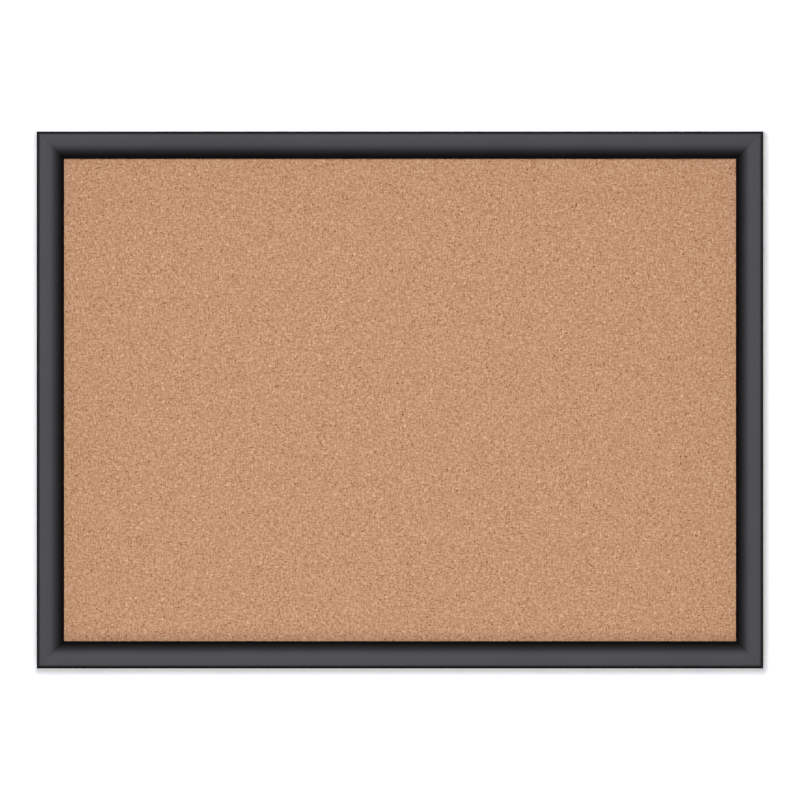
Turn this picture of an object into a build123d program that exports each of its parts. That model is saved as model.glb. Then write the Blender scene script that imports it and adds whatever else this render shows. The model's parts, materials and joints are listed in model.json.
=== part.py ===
from build123d import *

import os
from collections import namedtuple
from math import acos, cos, degrees, radians, sin

# Cork bulletin board for a wall, in millimetres.
#
# X runs along the width, Z is up and -Y is the front, so the wall is on the +Y side. The origin is
# the centre of the wall plane, which the faces of the four bumpers on the back touch.
#
# Four mitred rails make the frame, each an MDF core wrapped in a black foil, with V-nails across
# the mitres. A cork sheet, a soft fibreboard core and a hardboard back lie in the frame's rabbet,
# held by steel points. Two strap hangers are screwed to the side rails, and their D-rings swing.

os.makedirs("parts", exist_ok=True)

INCH = 25.4

# Outside of the frame
board_width = 23 * INCH
board_height = 17 * INCH
bumper_height = 4.5
back_y = -bumper_height  # the plane of the rails' backs

# Moulding section: u runs from the outer edge towards the cork, d from the back to the front
moulding_face = 22.0
moulding_depth = 22.0
edge_radius = 3.0  # round of the outer front edge
crown_width = 8.0
crown_slope = 7.0  # degrees, where the crown runs into the shoulder
shoulder_slope = 55.0  # degrees, where the shoulder runs into the nose
nose_radius = 2.5
rabbet_width = 6.5
rabbet_wall = moulding_face - rabbet_width
crown_radius = crown_width / sin(radians(crown_slope))
nose_width = nose_radius * (1 - sin(radians(shoulder_slope)))
shoulder_width = moulding_face - edge_radius - crown_width - nose_width
shoulder_radius = shoulder_width / (sin(radians(shoulder_slope)) - sin(radians(crown_slope)))

# Foil round the moulding, rebated into the core
foil = 0.3
foil_on_back = 3.0
foil_on_ledge = 2.0

# Panel layers in the rabbet, which end at the ledge behind the moulding's lip
panel_recess = 1.0  # from the rails' backs to the hardboard
hardboard_thickness = 2.0
fibreboard_thickness = 4.0
cork_thickness = 1.5
ledge_depth = panel_recess + hardboard_thickness + fibreboard_thickness + cork_thickness
panel_clearance = 1.0
panel_width = board_width - 2 * (rabbet_wall + panel_clearance)
panel_height = board_height - 2 * (rabbet_wall + panel_clearance)

# V-nails across each mitre, flush with the rails' backs
nail_leg = 4.6
nail_thickness = 0.5
nail_curl_radius = 0.7
nail_curl = 80.0
nail_height = 7.0
nail_apexes = (3.7, 8.9)  # from the outer corner, along each rail

# Steel points over the hardboard
point_width = 6.0
point_thickness = 0.5
point_on_board = 9.0
point_in_rail = 5.5
point_tip = 3.0

# Strap hangers: a strap folded round the straight side of a D-ring
hanger_inset = 7.75  # from the frame's outer edge to the strap's middle
hinge_height = board_height / 2 - 92.0
strap_width = 8.0
strap_thickness = 0.8
strap_gap = 0.1  # between the folded layers
strap_tail = 10.6  # from the hinge axis to the strap's rounded end
strap_edge = 0.15
strap_stack = 2 * strap_thickness + strap_gap
ring_wire = 0.9  # radius
ring_clearance = 0.07
fold_radius = ring_wire + ring_clearance + strap_thickness / 2
hinge_lift = strap_thickness / 2 + fold_radius  # from the rail's back to the hinge axis
upper_layer = strap_stack - strap_thickness / 2
joggle_radius = 1.2
joggle_turn = degrees(acos((upper_layer - hinge_lift + joggle_radius) / (fold_radius + joggle_radius)))

# D-rings, which rest pointing up and leaning on the rail
ring_half_width = 6.5  # to the wire's middle
ring_corner = 2.0
ring_straight = 2.5  # between the corner and the bow
ring_lean = 2.5  # degrees
ring_seam = 0.3  # between the wire's ends, inside the strap's fold

# Hanger screws
screw_below_hinge = 6.6
screw_hole_radius = 2.0
screw_head_radius = 3.0
screw_head_height = 1.9
screw_head_rim = 0.6
screw_thread_radius = 1.75
screw_root_radius = 1.2
screw_pitch = 1.2
screw_turns = 7
screw_tip = 1.9
screw_bite = 0.1  # of the thread into the wood
cross_reach = 1.6
cross_width = 0.7
cross_depth = 1.2

# Bumpers on the backs of the top and bottom rails
bumper_inset = 7.75
bumper_from_side = 48.0
bumper_base_radius = 5.5
bumper_taper = 9.0
bumper_round = 1.0

Rail = namedtuple("Rail", "plane length point_count start_corner end_corner")


def rail_plane(corner_x, corner_z, inward_x, inward_z):
    """The section plane at a rail's start: local x is u, local y is d, and the rail runs along z."""
    return Plane(
        origin=(corner_x, back_y, corner_z),
        x_dir=(inward_x, 0, inward_z),
        z_dir=(inward_z, 0, -inward_x),
    )


half_w, half_h = board_width / 2, board_height / 2
rails = {
    "top": Rail(rail_plane(half_w, half_h, 0, -1), board_width, 4, "top_right", "top_left"),
    "left": Rail(rail_plane(-half_w, half_h, 1, 0), board_height, 3, "top_left", "bottom_left"),
    "bottom": Rail(rail_plane(-half_w, -half_h, 0, 1), board_width, 4, "bottom_left", "bottom_right"),
    "right": Rail(rail_plane(half_w, -half_h, -1, 0), board_height, 3, "bottom_right", "top_right"),
}
hanger_x = {"left": hanger_inset - half_w, "right": half_w - hanger_inset}


def write(name, built):
    built.part.label = name
    export_step(built.part, f"parts/{name}.step")


# ---- Moulding section ----


def covered_line(skin):
    """Draws the surface that the foil covers, from the back's corner over the front to the lip."""
    wall = Line((skin, skin), (skin, moulding_depth - edge_radius))
    edge = JernArc(wall @ 1, wall % 1, edge_radius - skin, -90)
    crown = JernArc(edge @ 1, edge % 1, crown_radius - skin, -crown_slope)
    shoulder = JernArc(crown @ 1, crown % 1, shoulder_radius - skin, crown_slope - shoulder_slope)
    nose = JernArc(shoulder @ 1, shoulder % 1, nose_radius - skin, shoulder_slope - 90)
    Line(nose @ 1, (moulding_face - skin, ledge_depth + skin))


def core_outline():
    """Draws the MDF section, with rebates for the foil's edges on the back and on the ledge."""
    covered_line(foil)
    Polyline(
        (moulding_face - foil, ledge_depth + foil),
        (moulding_face - foil_on_ledge, ledge_depth + foil),
        (moulding_face - foil_on_ledge, ledge_depth),
        (rabbet_wall, ledge_depth),
        (rabbet_wall, 0),
        (foil_on_back, 0),
        (foil_on_back, foil),
        (foil, foil),
    )


def foil_outline():
    """Draws the foil's section."""
    covered_line(0)
    covered_line(foil)
    Polyline((0, 0), (foil_on_back, 0), (foil_on_back, foil), (foil, foil))
    Polyline(
        (moulding_face, ledge_depth),
        (moulding_face - foil_on_ledge, ledge_depth),
        (moulding_face - foil_on_ledge, ledge_depth + foil),
        (moulding_face - foil, ledge_depth + foil),
    )


def mitred(rail, draw_outline):
    """A section run along a rail, with both ends cut at 45 degrees."""
    along, inward = rail.plane.z_dir, rail.plane.x_dir
    with BuildPart() as run:
        with BuildSketch(rail.plane):
            with BuildLine():
                draw_outline()
            make_face()
        extrude(amount=rail.length)
        split(bisect_by=Plane(origin=rail.plane.origin, z_dir=along - inward))
        split(bisect_by=Plane(origin=rail.plane.origin + along * rail.length, z_dir=-along - inward))
    return run.part


# ---- V-nails, two at each corner ----


def nail_leg_line(apex, direction, curl):
    """Draws one leg of a V-nail, from its apex to its curled edge."""
    start = Vector(apex, apex)
    leg = Line(start, start + direction * nail_leg)
    JernArc(leg @ 1, leg % 1, nail_curl_radius, curl)


v_nails = {}
for rail in rails.values():
    corner_plane = Plane(origin=rail.plane.origin, x_dir=rail.plane.z_dir, z_dir=rail.plane.y_dir)
    with BuildPart() as nails:
        for apex in nail_apexes:
            with BuildSketch(corner_plane):
                with BuildLine():
                    nail_leg_line(apex, Vector(1, 0), nail_curl)
                    nail_leg_line(apex, Vector(0, 1), -nail_curl)
                trace(line_width=nail_thickness)
        extrude(amount=nail_height)
    v_nails[rail.start_corner] = nails
    write(f"v_nails_{rail.start_corner}", nails)


# ---- Panel: hardboard, fibreboard and cork, from the back to the front ----

layer_back = panel_recess
panel_layers = {
    "hardboard_back": hardboard_thickness,
    "fibreboard_core": fibreboard_thickness,
    "cork_sheet": cork_thickness,
}
for name, thickness in panel_layers.items():
    with BuildPart() as layer:
        with BuildSketch(Plane.XZ.offset(bumper_height + layer_back)):
            Rectangle(panel_width, panel_height)
        extrude(amount=thickness)
    layer_back += thickness
    write(name, layer)


# ---- Steel points: a row along each rail, lying on the hardboard and driven into the rabbet ----

retaining_points = {}
for name, rail in rails.items():
    along, inward, frontward = rail.plane.z_dir, rail.plane.x_dir, rail.plane.y_dir
    rabbet_middle = rail.plane.origin + along * rail.length / 2 + inward * rabbet_wall
    point_plane = Plane(origin=rabbet_middle + frontward * panel_recess, x_dir=inward, z_dir=-frontward)
    with BuildPart() as points:
        with BuildSketch(point_plane):
            with GridLocations(1, rail.length / rail.point_count, 1, rail.point_count):
                Polygon(
                    (-point_in_rail, 0),
                    (point_tip - point_in_rail, -point_width / 2),
                    (point_on_board, -point_width / 2),
                    (point_on_board, point_width / 2),
                    (point_tip - point_in_rail, point_width / 2),
                    align=None,
                )
        extrude(amount=point_thickness)
    retaining_points[name] = points
    write(f"retaining_points_{name}", points)


# ---- Strap hangers ----


def hinge_section(x):
    """The plane across a hinge axis: local x leaves the rail's back and local y is up."""
    return Plane(origin=(x, back_y, hinge_height), x_dir=(0, 1, 0), z_dir=(1, 0, 0))


def strap_plan(x):
    """The plane on the rail's back that looks out from it: local x is X and local y is down."""
    return Plane(origin=(x, back_y, hinge_height), x_dir=(1, 0, 0), z_dir=(0, 1, 0))


for side, x in hanger_x.items():
    with BuildPart() as strap:
        with BuildSketch(hinge_section(x)):
            with BuildLine():
                lower = Line((strap_thickness / 2, -strap_tail), (strap_thickness / 2, 0))
                fold = JernArc(lower @ 1, lower % 1, fold_radius, -180 - joggle_turn)
                joggle = JernArc(fold @ 1, fold % 1, joggle_radius, joggle_turn)
                Line(joggle @ 1, (upper_layer, -strap_tail))
            trace(line_width=strap_thickness)
        extrude(amount=strap_width / 2, both=True)
        long_edges = strap.faces().filter_by(Axis.X).edges()
        fillet(long_edges, radius=strap_edge)
        tail_centre = strap_tail - strap_width / 2
        with BuildSketch(strap_plan(x)):
            with Locations((0, tail_centre)):
                Circle(strap_width / 2)
            with Locations((0, tail_centre / 2 - strap_width / 2)):
                Rectangle(strap_width, tail_centre + strap_width)
            with Locations((0, screw_below_hinge)):
                Circle(screw_hole_radius, mode=Mode.SUBTRACT)
        extrude(amount=bumper_height, mode=Mode.INTERSECT)
    write(f"hanger_strap_{side}", strap)


# ---- D-rings ----

lean_y, lean_z = -sin(radians(ring_lean)), cos(radians(ring_lean))
for side, x in hanger_x.items():
    hinge_point = (x, back_y + hinge_lift, hinge_height)
    ring_plane = Plane(origin=hinge_point, x_dir=(1, 0, 0), z_dir=(0, -lean_z, lean_y))
    with BuildPart() as ring:
        with BuildLine(ring_plane) as wire:
            bar = Line((ring_seam / 2, 0), (ring_half_width - ring_corner, 0))
            corner = JernArc(bar @ 1, bar % 1, ring_corner, 90)
            upright = Line(corner @ 1, corner @ 1 + corner % 1 * ring_straight)
            bow = JernArc(upright @ 1, upright % 1, ring_half_width, 180)
            far_upright = Line(bow @ 1, bow @ 1 + bow % 1 * ring_straight)
            far_corner = JernArc(far_upright @ 1, far_upright % 1, ring_corner, 90)
            Line(far_corner @ 1, (-ring_seam / 2, 0))
        with BuildSketch(Plane(origin=wire.line @ 0, z_dir=wire.line % 0)):
            Circle(ring_wire)
        sweep(path=wire.line)
    write(f"hanger_ring_{side}", ring)


# ---- Hanger screws ----


def screw_outline():
    """Draws half of a pan-head screw beside its axis: local y points into the wood."""
    top = (0, -screw_head_height)
    rim = (screw_head_radius, -screw_head_rim)
    TangentArc(top, rim, tangent=(1, 0))
    Polyline(rim, (screw_head_radius, 0), (screw_root_radius, 0), (screw_root_radius, strap_stack))
    thread_start = strap_stack
    for turn in range(screw_turns):
        crest = (screw_thread_radius, thread_start + screw_pitch / 2)
        Polyline((screw_root_radius, thread_start), crest, (screw_root_radius, thread_start + screw_pitch))
        thread_start += screw_pitch
    Polyline((screw_root_radius, thread_start), (0, thread_start + screw_tip), top)


screws = {}
for side, x in hanger_x.items():
    screw_z = hinge_height - screw_below_hinge
    half_section = Plane(origin=(x, back_y + strap_stack, screw_z), x_dir=(1, 0, 0), z_dir=(0, 0, -1))
    head_top = Plane(origin=(x, back_y + strap_stack + screw_head_height, screw_z), z_dir=(0, -1, 0))
    with BuildPart() as screw:
        with BuildSketch(half_section):
            with BuildLine():
                screw_outline()
            make_face()
        revolve(axis=Axis(half_section.origin, (0, 1, 0)))
        with BuildSketch(head_top):
            Rectangle(2 * cross_reach, cross_width)
            Rectangle(cross_width, 2 * cross_reach)
        extrude(amount=cross_depth, mode=Mode.SUBTRACT)
    screws[side] = screw
    write(f"hanger_screw_{side}", screw)


# ---- Rails: the foil and the core of each, the core cut for its nails, points and screw ----

for name, rail in rails.items():
    with BuildPart() as rail_foil:
        add(mitred(rail, foil_outline))
    write(f"rail_foil_{name}", rail_foil)

    with BuildPart() as rail_core:
        add(mitred(rail, core_outline))
        add(v_nails[rail.start_corner].part, mode=Mode.SUBTRACT)
        add(v_nails[rail.end_corner].part, mode=Mode.SUBTRACT)
        add(retaining_points[name].part, mode=Mode.SUBTRACT)
        if name in hanger_x:
            pilot_plane = Plane(
                origin=(hanger_x[name], back_y, hinge_height - screw_below_hinge),
                z_dir=(0, -1, 0),
            )
            with BuildSketch(pilot_plane):
                Circle(screw_thread_radius - screw_bite)
            extrude(amount=screw_turns * screw_pitch + screw_tip, mode=Mode.SUBTRACT)
    write(f"rail_core_{name}", rail_core)


# ---- Bumpers ----

bumper_x = half_w - bumper_from_side
bumper_z = half_h - bumper_inset
bumper_places = {
    "top_left": (-bumper_x, bumper_z),
    "top_right": (bumper_x, bumper_z),
    "bottom_left": (-bumper_x, -bumper_z),
    "bottom_right": (bumper_x, -bumper_z),
}
for place, (x, z) in bumper_places.items():
    with BuildPart() as bumper:
        with BuildSketch(Plane(origin=(x, back_y, z), z_dir=(0, 1, 0))):
            Circle(bumper_base_radius)
        extrude(amount=bumper_height, taper=bumper_taper)
        rim = bumper.faces().sort_by(Axis.Y)[-1].edges()
        fillet(rim, radius=bumper_round)
    write(f"wall_bumper_{place}", bumper)
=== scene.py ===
import json
from math import cos, pi, radians, sin
from random import Random

import bmesh
import bpy
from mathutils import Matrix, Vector, noise


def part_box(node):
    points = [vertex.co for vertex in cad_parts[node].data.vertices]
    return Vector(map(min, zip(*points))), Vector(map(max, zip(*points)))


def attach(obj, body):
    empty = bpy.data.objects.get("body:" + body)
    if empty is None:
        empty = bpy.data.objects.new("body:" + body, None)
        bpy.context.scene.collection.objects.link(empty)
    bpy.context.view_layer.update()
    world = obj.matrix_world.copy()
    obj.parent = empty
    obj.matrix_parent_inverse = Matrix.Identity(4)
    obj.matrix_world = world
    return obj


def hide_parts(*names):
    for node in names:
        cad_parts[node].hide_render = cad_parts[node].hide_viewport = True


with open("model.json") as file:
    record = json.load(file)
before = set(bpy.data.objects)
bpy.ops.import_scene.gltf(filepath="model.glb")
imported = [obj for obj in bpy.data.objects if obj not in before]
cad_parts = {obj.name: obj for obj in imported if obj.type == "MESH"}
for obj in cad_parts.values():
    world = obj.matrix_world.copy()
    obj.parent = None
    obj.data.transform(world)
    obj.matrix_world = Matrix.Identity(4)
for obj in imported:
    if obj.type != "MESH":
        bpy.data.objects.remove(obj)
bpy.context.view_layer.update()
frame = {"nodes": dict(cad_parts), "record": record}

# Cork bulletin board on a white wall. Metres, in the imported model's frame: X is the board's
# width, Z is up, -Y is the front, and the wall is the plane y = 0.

MM = 0.001

# ---- Sizes from the frame, with the moulding section's own radii and angles ----

lowest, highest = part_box("rail_foil_top")
half_width = highest.x
half_height = highest.z
back_y = highest.y
moulding_face = highest.z - lowest.z
moulding_depth = highest.y - lowest.y
cork_low, cork_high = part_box("cork_sheet")
ledge_depth = back_y - cork_low.y
sight_half_width = half_width - moulding_face
sight_half_height = half_height - moulding_face

foil_thickness = 0.3 * MM
foil_on_back = 3.0 * MM
foil_on_ledge = 2.0 * MM
edge_radius = 3.0 * MM
crown_width = 8.0 * MM
crown_slope = radians(7.0)
shoulder_slope = radians(55.0)
nose_radius = 2.5 * MM


# ---- Materials ----


class Finish:
    """A Principled material, with short ways to add nodes to it. Places are in metres."""

    def __init__(self, name, **sockets):
        self.material = bpy.data.materials.new(name)
        self.material.use_nodes = True
        tree = self.material.node_tree
        self.nodes, self.links = tree.nodes, tree.links
        self.shader = self.nodes["Principled BSDF"]
        self.place = self.nodes.new("ShaderNodeTexCoord").outputs["Object"]
        for socket, value in sockets.items():
            self.shader.inputs[socket.replace("_", " ")].default_value = value

    def put(self, socket, value):
        """Links another node's output to a socket, or sets the socket's own value."""
        if isinstance(value, bpy.types.NodeSocket):
            self.links.new(value, socket)
        else:
            socket.default_value = value

    def math(self, operation, a, b=0.0, c=0.0):
        """One step of arithmetic on numbers or other nodes' outputs."""
        node = self.nodes.new("ShaderNodeMath")
        node.operation = operation
        for socket, value in zip(node.inputs, (a, b, c)):
            self.put(socket, value)
        return node.outputs[0]

    def total(self, *terms):
        """The sum of (value, weight) pairs."""
        result = 0.0
        for value, weight in terms:
            result = self.math("MULTIPLY_ADD", value, weight, result)
        return result

    def scaled(self, sizes):
        """The place, counted in steps of the given size along each axis."""
        node = self.nodes.new("ShaderNodeVectorMath")
        node.operation = "MULTIPLY"
        self.put(node.inputs[0], self.place)
        node.inputs[1].default_value = [1 / size for size in sizes]
        return node.outputs[0]

    def count_from(self, origin):
        """Moves the place that the later nodes count from."""
        node = self.nodes.new("ShaderNodeVectorMath")
        node.operation = "SUBTRACT"
        self.put(node.inputs[0], self.place)
        node.inputs[1].default_value = origin
        self.place = node.outputs[0]

    def noise(self, size, detail=2.0, roughness=0.5, stretch=(1, 1, 1)):
        """Smooth noise about 0.5 whose lumps have the given size, longer where stretch is over 1."""
        node = self.nodes.new("ShaderNodeTexNoise")
        self.put(node.inputs["Vector"], self.scaled([size * s for s in stretch]))
        node.inputs["Scale"].default_value = 1.0
        node.inputs["Detail"].default_value = detail
        node.inputs["Roughness"].default_value = roughness
        return node.outputs["Fac"]

    def grains(self, size, feature="F1", stretch=(1, 1, 1)):
        """Cells of the given size: the distance from their middles, and a random value for each."""
        node = self.nodes.new("ShaderNodeTexVoronoi")
        node.feature = feature
        self.put(node.inputs["Vector"], self.scaled([size * s for s in stretch]))
        node.inputs["Scale"].default_value = 1.0
        pick = self.nodes.new("ShaderNodeSeparateColor")
        self.put(pick.inputs[0], node.outputs["Color"])
        return node.outputs["Distance"], pick.outputs[0]

    def between(self, value, low, high, to_low=0.0, to_high=1.0):
        """Eases a value from one range into another and clamps it."""
        node = self.nodes.new("ShaderNodeMapRange")
        node.interpolation_type = "SMOOTHSTEP"
        for socket, number in zip(node.inputs, (value, low, high, to_low, to_high)):
            self.put(socket, number)
        return node.outputs[0]

    def ramp(self, value, *stops):
        """A colour ramp of (position, colour) stops."""
        node = self.nodes.new("ShaderNodeValToRGB")
        self.put(node.inputs[0], value)
        elements = node.color_ramp.elements
        while len(elements) < len(stops):
            elements.new(0.5)
        for element, (position, colour) in zip(elements, stops):
            element.position = position
            element.color = (*colour, 1.0)
        return node.outputs[0]

    def mix(self, factor, a, b):
        """Colour a where the factor is 0 and colour b where it is 1."""
        node = self.nodes.new("ShaderNodeMix")
        node.data_type = "RGBA"
        self.put(node.inputs["Factor"], factor)
        for socket, value in ((node.inputs["A"], a), (node.inputs["B"], b)):
            self.put(socket, value if isinstance(value, bpy.types.NodeSocket) else (*value, 1.0))
        return node.outputs["Result"]

    def colour(self, value):
        self.put(self.shader.inputs["Base Color"], value)

    def roughness(self, value):
        self.put(self.shader.inputs["Roughness"], value)

    def relief(self, height, depth):
        """Bumps the surface by a height of 0 to 1 over the given depth."""
        node = self.nodes.new("ShaderNodeBump")
        node.inputs["Distance"].default_value = depth
        self.put(node.inputs["Height"], height)
        self.put(self.shader.inputs["Normal"], node.outputs[0])


BLACK_LOW = (0.0024, 0.0022, 0.0026)
BLACK_HIGH = (0.0036, 0.0034, 0.0040)
BLACK_SCUFF = (0.014, 0.014, 0.015)


def black_foil():
    """Black decor foil whose satin lacquer thins out to matt on the front arris and towards the lip."""
    foil = Finish("black_foil", Specular_IOR_Level=0.05, Coat_Roughness=0.60, Coat_IOR=1.60)
    parts = foil.nodes.new("ShaderNodeSeparateXYZ")
    foil.put(parts.inputs[0], foil.place)
    beside = foil.math("SUBTRACT", foil.math("ABSOLUTE", parts.outputs[0]), sight_half_width)
    above = foil.math("SUBTRACT", foil.math("ABSOLUTE", parts.outputs[2]), sight_half_height)
    from_lip = foil.math("MAXIMUM", beside, above)
    from_edge = foil.math("SUBTRACT", moulding_face, from_lip)
    from_front = foil.math("SUBTRACT", parts.outputs[1], back_y - moulding_depth)
    off_arris = foil.math(
        "MAXIMUM",
        foil.between(from_edge, 0.2 * MM, 2.2 * MM),
        foil.between(from_front, 1.0 * MM, 3.2 * MM),
    )
    satin = foil.math("MULTIPLY", foil.between(from_lip, 1.0 * MM, 9.0 * MM), off_arris)
    smears = foil.noise(38 * MM, detail=3.0)
    scuffs = foil.between(foil.noise(1.6 * MM, detail=6.0, roughness=0.7), 0.66, 0.74)
    pebble, _ = foil.grains(0.45 * MM)
    foil.colour(foil.mix(scuffs, foil.ramp(smears, (0.3, BLACK_LOW), (0.7, BLACK_HIGH)), BLACK_SCUFF))
    foil.roughness(foil.total((smears, 0.10), (scuffs, 0.10), (1.0, 0.65)))
    polish = foil.total((smears, 0.12), (scuffs, -0.15), (1.0, 0.91))
    foil.put(foil.shader.inputs["Coat Weight"], foil.math("MULTIPLY", satin, polish))
    foil.relief(foil.total((pebble, 0.5), (foil.noise(0.2 * MM), 0.5)), 0.006 * MM)
    return foil.material


CORK_LEVEL = -0.133  # puts the granules' mean tone at the ramp's middle
CORK_PORE = (0.221, 0.0655, 0.0142)
CORK_DARK = (0.370, 0.158, 0.0632)
CORK_MID = (0.560, 0.302, 0.1504)
CORK_LIGHT = (0.781, 0.5205, 0.320)


def cork():
    """Fine agglomerated cork: small granules and fibres, dark pores and pale flecks."""
    face = Finish("cork", Specular_IOR_Level=0.2)
    face.count_from((0, cork_low.y, 0))
    lens, tone = face.grains(0.9 * MM)
    gaps = face.between(lens, 0.50, 0.75)
    pore_shape, pore_pick = face.grains(2.0 * MM)
    fleck_shape, fleck_pick = face.grains(3.6 * MM)
    pores = face.math(
        "MULTIPLY",
        face.between(pore_shape, 0.20, 0.44, 1.0, 0.0),
        face.between(pore_pick, 0.84, 0.96),
    )
    flecks = face.math(
        "MULTIPLY",
        face.between(fleck_shape, 0.16, 0.32, 1.0, 0.0),
        face.between(fleck_pick, 0.86, 0.96),
    )
    shade = face.total(
        (face.noise(1.8 * MM, detail=0.0), 0.22),
        (face.noise(1.5 * MM, detail=0.0), 0.40),
        (face.noise(1.1 * MM, detail=0.0, stretch=(4, 1, 1)), 0.26),
        (face.noise(1.1 * MM, detail=0.0, stretch=(1, 1, 4)), 0.26),
        (face.noise(14 * MM, detail=3.0), 0.09),
        (tone, 0.11),
        (gaps, -0.10),
        (pores, -0.36),
        (flecks, 0.24),
        (1.0, CORK_LEVEL),
    )
    stops = (0.0, CORK_PORE), (0.25, CORK_DARK), (0.5, CORK_MID), (0.8, CORK_LIGHT)
    face.colour(face.ramp(shade, *stops))
    face.roughness(face.total((tone, 0.10), (1.0, 0.82)))
    face.relief(face.total((tone, 0.5), (lens, -0.4), (pores, -0.8), (1.0, 0.5)), 0.12 * MM)
    return face.material


def mdf():
    """Raw MDF: fine pressed fibres, with darker and paler ones among them."""
    board = Finish("mdf", Specular_IOR_Level=0.25)
    fibres = board.noise(0.35 * MM, detail=5.0, roughness=0.65)
    long_fibres = board.noise(0.3 * MM, detail=2.0, stretch=(6, 1, 2))
    clouds = board.noise(9 * MM, detail=3.0)
    _, specks = board.grains(0.6 * MM)
    shade = board.total((fibres, 0.5), (long_fibres, 0.3), (clouds, 0.25), (specks, 0.15), (1.0, -0.1))
    board.colour(board.ramp(shade, (0.2, (0.24, 0.145, 0.075)), (0.8, (0.46, 0.32, 0.20))))
    board.roughness(board.total((fibres, 0.15), (1.0, 0.75)))
    board.relief(board.total((fibres, 0.7), (long_fibres, 0.3)), 0.05 * MM)
    return board.material


def fibreboard():
    """Soft felted fibreboard, pale grey-brown."""
    board = Finish("fibreboard", Specular_IOR_Level=0.15)
    felt = board.noise(0.8 * MM, detail=6.0, roughness=0.7)
    strands = board.noise(0.5 * MM, detail=2.0, stretch=(5, 1, 1))
    shade = board.total((felt, 0.7), (strands, 0.3))
    board.colour(board.ramp(shade, (0.3, (0.36, 0.29, 0.21)), (0.7, (0.60, 0.52, 0.41))))
    board.roughness(board.total((felt, 0.1), (1.0, 0.85)))
    board.relief(shade, 0.2 * MM)
    return board.material


SCREEN_PITCH = 1.6 * MM


def hardboard():
    """Hardboard with the screen's weave pressed into its back, and dark fibres under the surface."""
    board = Finish("hardboard", Specular_IOR_Level=0.35)
    fibres = board.noise(0.5 * MM, detail=4.0, stretch=(4, 1, 1))
    cross_fibres = board.noise(0.5 * MM, detail=4.0, stretch=(1, 1, 4))
    clouds = board.noise(30 * MM, detail=4.0)
    parts = board.nodes.new("ShaderNodeSeparateXYZ")
    board.put(parts.inputs[0], board.scaled([SCREEN_PITCH / (2 * pi)] * 3))
    weft = board.math("SINE", parts.outputs[0])
    warp = board.math("SINE", parts.outputs[2])
    screen = board.math("MULTIPLY", weft, warp)
    shade = board.total((fibres, 0.45), (cross_fibres, 0.45), (clouds, 0.35), (screen, 0.06), (1.0, -0.12))
    board.colour(board.ramp(shade, (0.2, (0.085, 0.045, 0.022)), (0.8, (0.235, 0.135, 0.068))))
    board.roughness(board.total((fibres, 0.12), (1.0, 0.55)))
    board.relief(board.total((screen, 0.35), (fibres, 0.3), (1.0, 0.35)), 0.15 * MM)
    return board.material


def zinc_steel():
    """Bright zinc-plated steel with faint draw marks and dull patches."""
    plate = Finish("zinc_steel", Metallic=1.0)
    dull = plate.noise(2.5 * MM, detail=4.0)
    draw_marks = plate.noise(0.15 * MM, detail=2.0, stretch=(1, 1, 12))
    plate.colour(plate.ramp(dull, (0.3, (0.52, 0.52, 0.54)), (0.7, (0.68, 0.68, 0.69))))
    plate.roughness(plate.total((dull, 0.16), (draw_marks, 0.10), (1.0, 0.20)))
    plate.relief(plate.total((draw_marks, 0.7), (dull, 0.3)), 0.004 * MM)
    return plate.material


def bumper_rubber():
    """Dark grey polyurethane, slightly dusty."""
    rubber = Finish("bumper_rubber", Specular_IOR_Level=0.4)
    dust = rubber.noise(1.8 * MM, detail=5.0)
    rubber.colour(rubber.ramp(dust, (0.35, (0.018, 0.018, 0.019)), (0.75, (0.050, 0.049, 0.047))))
    rubber.roughness(rubber.total((dust, 0.25), (1.0, 0.42)))
    rubber.relief(rubber.noise(0.25 * MM), 0.01 * MM)
    return rubber.material


materials = {
    "black_foil": black_foil(),
    "mdf": mdf(),
    "cork": cork(),
    "fibreboard": fibreboard(),
    "hardboard": hardboard(),
    "zinc_steel": zinc_steel(),
    "bumper": bumper_rubber(),
}
for part in frame["record"]["subparts"]:
    slots = frame["nodes"][part["node"]].data.materials
    slots.clear()
    slots.append(materials[part["material_slot"]])


# ---- Pieces that replace CAD nodes ----

SHARP_ANGLE = radians(40)


def piece_from(name, points, faces, node, slot):
    """A closed mesh that rides on the board, stands for a CAD node and takes its slot's finish."""
    mesh = bpy.data.meshes.new(name)
    mesh.from_pydata(points, [], faces)
    shell = bmesh.new()
    shell.from_mesh(mesh)
    bmesh.ops.recalc_face_normals(shell, faces=shell.faces)
    shell.to_mesh(mesh)
    shell.free()
    mesh.shade_smooth()
    mesh.set_sharp_from_angle(angle=SHARP_ANGLE)
    mesh.materials.append(materials[slot])
    piece = bpy.data.objects.new(name, mesh)
    bpy.context.scene.collection.objects.link(piece)
    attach(piece, "board")
    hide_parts(node)
    return piece


# Foil wraps: the moulding section as one path, mitred and eased where two rails meet

ARRIS_RADIUS = 0.4 * MM  # of the foil round the back's and the lip's square corners
MITRE_EASE = 0.08 * MM  # radius of the quarter round at a mitre
MITRE_ROUND_STEPS = 3
MITRE_HOLDS = (0.13 * MM, 0.4 * MM)
STATION_STEP = 8 * MM
EDGE_WANDER = 0.25 * MM  # how far the foil's cut edges fall short in places
WANDER_LENGTH = 20 * MM
RAIL_INWARD = {"top": (0, -1), "left": (1, 0), "bottom": (0, 1), "right": (-1, 0)}


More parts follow.
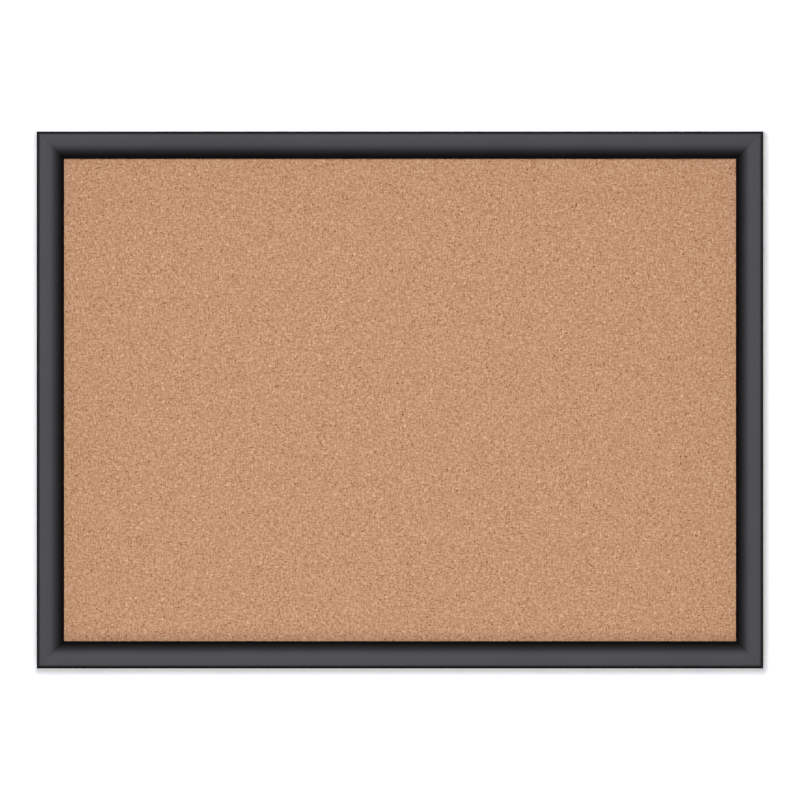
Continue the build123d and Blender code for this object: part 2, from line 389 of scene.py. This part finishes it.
def section_path():
    """Points (u, d) round the foil's outside, from its edge on the back to its edge on the ledge.

    u runs from the frame's outer edge towards the cork and d from the back to the front. Each
    point comes with the outward direction there.
    """
    nose_turn = pi / 2 - shoulder_slope
    nose_width = nose_radius * (1 - sin(shoulder_slope))
    shoulder_width = moulding_face - edge_radius - crown_width - nose_width
    shoulder_radius = shoulder_width / (sin(shoulder_slope) - sin(crown_slope))
    crown_radius = crown_width / sin(crown_slope)
    crown_drop = crown_radius * (1 - cos(crown_slope))
    shoulder_drop = shoulder_radius * (cos(crown_slope) - cos(shoulder_slope))
    lip_height = moulding_depth - crown_drop - shoulder_drop - nose_radius * cos(shoulder_slope) - ledge_depth
    # Each run is a straight stretch, then an arc: its length, radius, turn and number of steps
    runs = (
        (foil_on_back - ARRIS_RADIUS, ARRIS_RADIUS, pi / 2, 4),
        (moulding_depth - edge_radius - ARRIS_RADIUS, edge_radius, pi / 2, 18),
        (0, crown_radius, crown_slope, 6),
        (0, shoulder_radius, shoulder_slope - crown_slope, 22),
        (0, nose_radius, nose_turn, 8),
        (lip_height - ARRIS_RADIUS, ARRIS_RADIUS, pi / 2, 4),
    )
    u, d, heading = foil_on_back, 0.0, pi
    path = [(u, d, 0.0, -1.0)]
    for straight, radius, turn, steps in runs:
        u += straight * cos(heading)
        d += straight * sin(heading)
        if straight:
            path.append((u, d, -sin(heading), cos(heading)))
        centre_u = u + radius * sin(heading)
        centre_d = d - radius * cos(heading)
        for step in range(1, steps + 1):
            angle = heading - turn * step / steps
            u, d = centre_u - radius * sin(angle), centre_d + radius * cos(angle)
            path.append((u, d, -sin(angle), cos(angle)))
        heading -= turn
    path.append((moulding_face - foil_on_ledge, ledge_depth, 0.0, -1.0))
    return path


def stations(length):
    """(share of the rail, extra distance, dip) along a rail, with a quarter round at each mitre.

    Short steps beyond each quarter round keep its shading off the long faces.
    """
    count = round(length / STATION_STEP)
    rounds = [pi / 2 * k / MITRE_ROUND_STEPS for k in range(MITRE_ROUND_STEPS + 1)]
    start = [(0.0, MITRE_EASE * (1 - cos(a)), MITRE_EASE * (1 - sin(a))) for a in rounds]
    start += [(0.0, beyond, 0.0) for beyond in MITRE_HOLDS]
    end = [(1.0, -extra, dip) for _, extra, dip in reversed(start)]
    return start + [(k / count, 0.0, 0.0) for k in range(1, count)] + end


def foil_wrap(side, inward):
    """A thin foil shell round one rail, whose cut edges wander a little."""
    inward_x, inward_z = inward
    along_x, along_z = inward_z, -inward_x
    length = 2 * (half_width if along_x else half_height)
    path = section_path()
    last = len(path) - 1
    points, faces = [], []
    for share, extra, dip in stations(length):
        ring = []
        for index, (u, d, out_u, out_d) in enumerate(path):
            if index in (0, last):
                wander = noise.noise(Vector((share * length / WANDER_LENGTH, index, length)))
                u += EDGE_WANDER * 0.5 * (wander - 1) * (1 if index == 0 else -1)
            for skin in (dip, foil_thickness):
                ring.append((u - skin * out_u, d - skin * out_d))
        for u, d in ring:
            s = u + (length - 2 * u) * share + extra
            x = inward_x * (u - half_width) + along_x * (s - half_width)
            z = inward_z * (u - half_height) + along_z * (s - half_height)
            points.append((x, back_y - d, z))
    size = 2 * (last + 1)
    rows = len(points) // size
    for row in range(rows - 1):
        a, b = row * size, (row + 1) * size
        for k in range(0, size - 2, 2):
            faces.append((a + k, a + k + 2, b + k + 2, b + k))
            faces.append((a + k + 1, b + k + 1, b + k + 3, a + k + 3))
        for k in (0, size - 2):
            faces.append((a + k, b + k, b + k + 1, a + k + 1))
    for a in (0, (rows - 1) * size):
        for k in range(0, size - 2, 2):
            faces.append((a + k, a + k + 1, a + k + 3, a + k + 2))
    return piece_from(f"foil_wrap_{side}", points, faces, f"rail_foil_{side}", "black_foil")


for side, inward in RAIL_INWARD.items():
    foil_wrap(side, inward)


# Cork sheet: every granule lies at its own depth, with open pores between some of them

CORK_STEP = 1.6 * MM
CORK_JITTER = 0.35 * MM
GRANULE = 2.4 * MM
GRANULE_DEPTH = 0.14 * MM
GRANULE_SEED = 17.3
PORE_SPACING = 4.5 * MM
PORE_RADIUS = 0.3  # in pore spacings
PORE_DEPTH = 0.16 * MM
PORE_SHARE = 0.75
PORE_SEED = 11.9


def pick(seed):
    """A random number from 0 to 1 that stays the same for a seed vector."""
    return 0.5 + 0.5 * noise.cell(seed)


def cork_relief(x, z):
    """How far the cork's face lies behind its plane."""
    granule = noise.voronoi(Vector((x, z, 0)) / GRANULE)[1][0]
    depth = GRANULE_DEPTH * pick(granule * GRANULE_SEED)
    distances, middles = noise.voronoi(Vector((x, z, GRANULE)) / PORE_SPACING)
    if pick(middles[0] * PORE_SEED) < PORE_SHARE:
        depth += PORE_DEPTH * max(0.0, 1 - distances[0] / PORE_RADIUS)
    return depth


def cork_face():
    """A closed sheet: a fine uneven grid in front, and one flat fan of long faces behind."""
    rng = Random(23)
    columns = round((cork_high.x - cork_low.x) / CORK_STEP)
    rows = round((cork_high.z - cork_low.z) / CORK_STEP)
    points = []
    for row in range(rows + 1):
        for column in range(columns + 1):
            x = cork_low.x + (cork_high.x - cork_low.x) * column / columns
            z = cork_low.z + (cork_high.z - cork_low.z) * row / rows
            if 0 < row < rows and 0 < column < columns:
                x += rng.uniform(-CORK_JITTER, CORK_JITTER)
                z += rng.uniform(-CORK_JITTER, CORK_JITTER)
                points.append((x, cork_low.y + cork_relief(x, z), z))
            else:
                points.append((x, cork_low.y, z))
    wide = columns + 1
    faces = [
        (r * wide + c, r * wide + c + 1, (r + 1) * wide + c + 1, (r + 1) * wide + c)
        for r in range(rows)
        for c in range(columns)
    ]
    rim = list(range(columns))
    rim += [r * wide + columns for r in range(rows)]
    rim += [rows * wide + c for c in range(columns, 0, -1)]
    rim += [r * wide for r in range(rows, 0, -1)]
    behind = len(points)
    points += [(points[k][0], cork_high.y, points[k][2]) for k in rim]
    points.append((0.0, cork_high.y, 0.0))
    middle = len(points) - 1
    for k, corner in enumerate(rim):
        following = (k + 1) % len(rim)
        faces.append((corner, behind + k, behind + following, rim[following]))
        faces.append((behind + k, middle, behind + following))
    return piece_from("cork_face", points, faces, "cork_sheet", "cork")


cork_face()


# ---- Stage: a white wall and a pale floor, both clear from behind ----
# Behind the board the wall is there only for the camera, so that the rear lights reach the back.


def stage_finish(name, colour, glow):
    """A matt backdrop finish: clear from behind, and black in the object's reflections."""
    material = bpy.data.materials.new(name)
    material.use_nodes = True
    nodes, links = material.node_tree.nodes, material.node_tree.links
    matt = nodes["Principled BSDF"]
    matt.inputs["Base Color"].default_value = (*colour, 1.0)
    matt.inputs["Roughness"].default_value = 0.9
    matt.inputs["Specular IOR Level"].default_value = 0.0
    matt.inputs["Emission Color"].default_value = (1.0, 1.0, 1.0, 1.0)
    matt.inputs["Emission Strength"].default_value = glow
    black = nodes.new("ShaderNodeEmission")
    black.inputs["Strength"].default_value = 0.0
    clear = nodes.new("ShaderNodeBsdfTransparent")
    ray = nodes.new("ShaderNodeLightPath")
    side = nodes.new("ShaderNodeNewGeometry")
    front = nodes.new("ShaderNodeMixShader")
    both = nodes.new("ShaderNodeMixShader")
    links.new(ray.outputs["Is Glossy Ray"], front.inputs[0])
    links.new(matt.outputs[0], front.inputs[1])
    links.new(black.outputs[0], front.inputs[2])
    links.new(side.outputs["Backfacing"], both.inputs[0])
    links.new(front.outputs[0], both.inputs[1])
    links.new(clear.outputs[0], both.inputs[2])
    links.new(both.outputs[0], nodes["Material Output"].inputs["Surface"])
    return material


def backdrop(name, corners, faces, material):
    """A flat part of the stage, which isn't part of the object."""
    mesh = bpy.data.meshes.new(name)
    mesh.from_pydata(corners, [], faces)
    mesh.materials.append(material)
    sheet = bpy.data.objects.new(name, mesh)
    bpy.context.scene.collection.objects.link(sheet)
    return sheet


def rectangle(low_x, low_z, high_x, high_z):
    """The corners of an upright rectangle in the wall's plane, counted round from its lower left."""
    return [(low_x, 0, low_z), (high_x, 0, low_z), (high_x, 0, high_z), (low_x, 0, high_z)]


STAGE_REACH = 4.0
FLOOR_Z = -0.5
WALL_LAP = 2 * MM  # of the wall behind the board's edges
opening_x, opening_z = half_width - WALL_LAP, half_height - WALL_LAP
opening = rectangle(-opening_x, -opening_z, opening_x, opening_z)
wall_white = stage_finish("wall_white", (0.92, 0.95, 0.93), glow=0.30)
backdrop(
    "stage_wall",
    rectangle(-STAGE_REACH, FLOOR_Z, STAGE_REACH, STAGE_REACH) + opening,
    [(k, (k + 1) % 4, 4 + (k + 1) % 4, 4 + k) for k in range(4)],
    wall_white,
)
behind_board = backdrop("stage_wall_behind_board", opening, [(0, 1, 2, 3)], wall_white)
floor = backdrop(
    "stage_floor",
    [(x * STAGE_REACH, y * STAGE_REACH, FLOOR_Z) for x, y in ((-1, -1), (1, -1), (1, 1), (-1, 1))],
    [(0, 1, 2, 3)],
    stage_finish("floor_pale", (0.30, 0.30, 0.29), glow=0.68),
)
for sheet in (behind_board, floor):
    sheet.visible_diffuse = False
    sheet.visible_shadow = False
behind_board.visible_glossy = False


# ---- Light and camera ----


WHITE = (1.0, 1.0, 1.0)
COOL_WHITE = (0.95, 0.95, 1.06)


def soft_light(name, place, size, power, colour=WHITE):
    """A round area light that faces the board's middle and that the camera doesn't see."""
    data = bpy.data.lights.new(name, "AREA")
    data.shape = "DISK"
    data.size = size
    data.energy = power
    data.color = colour
    light = bpy.data.objects.new(name, data)
    light.location = place
    light.rotation_euler = (-Vector(place)).to_track_quat("-Z", "Y").to_euler()
    light.visible_camera = False
    bpy.context.scene.collection.objects.link(light)


KEY_DISTANCE = 3.1
KEY_UP, KEY_LEFT = radians(6.5), radians(2.3)
FILL_REACH = 1.8
RIM_DISTANCE = 2.6
RIM_FORWARD = 0.35
RIM_SIDES = {"left": (-1, 0), "right": (1, 0), "top": (0, 1)}
soft_light(
    "key",
    (-KEY_DISTANCE * sin(KEY_LEFT), -KEY_DISTANCE * cos(KEY_UP), KEY_DISTANCE * sin(KEY_UP)),
    size=0.95,
    power=70.0,
    colour=COOL_WHITE,
)
soft_light("fill", (0.0, -FILL_REACH, -FILL_REACH), size=1.2, power=12.0, colour=COOL_WHITE)
for side, (x, z) in RIM_SIDES.items():
    soft_light(f"rim_{side}", (x * RIM_DISTANCE, -RIM_FORWARD, z * RIM_DISTANCE), size=0.8, power=9.0)
soft_light("rear_key", (0.9, 2.2, 1.3), size=1.6, power=55.0)
soft_light("rear_fill", (-1.8, 1.8, 0.2), size=1.2, power=20.0)


def studio_world(seen, before, behind):
    """A pale surround for the camera that lights the scene less, and more from behind the wall."""
    world = bpy.data.worlds.new("studio")
    world.use_nodes = True
    nodes, links = world.node_tree.nodes, world.node_tree.links
    surround = nodes["Background"]
    surround.inputs["Color"].default_value = (*WHITE, 1.0)
    ray = nodes.new("ShaderNodeLightPath")
    direction = nodes.new("ShaderNodeTexCoord")
    parts = nodes.new("ShaderNodeSeparateXYZ")
    light = nodes.new("ShaderNodeMapRange")
    light.inputs["To Min"].default_value = before
    light.inputs["To Max"].default_value = behind
    strength = nodes.new("ShaderNodeMapRange")
    strength.inputs["To Max"].default_value = seen
    links.new(direction.outputs["Generated"], parts.inputs[0])
    links.new(parts.outputs[1], light.inputs["Value"])
    links.new(light.outputs[0], strength.inputs["To Min"])
    links.new(ray.outputs["Is Camera Ray"], strength.inputs["Value"])
    links.new(strength.outputs[0], surround.inputs["Strength"])
    bpy.context.scene.world = world


studio_world(seen=0.80, before=0.13, behind=0.90)
scene = bpy.context.scene
scene.view_settings.view_transform = "Standard"

VIEW_WIDTH = 0.6433
CAMERA_DISTANCE = 1.0
camera_data = bpy.data.cameras.new("camera")
camera_data.type = "ORTHO"
camera_data.ortho_scale = VIEW_WIDTH
camera_data.clip_end = 50.0
camera = bpy.data.objects.new("camera", camera_data)
camera.location = (0, -CAMERA_DISTANCE, 0)
camera.rotation_euler = (pi / 2, 0, 0)
scene.collection.objects.link(camera)
scene.camera = camera
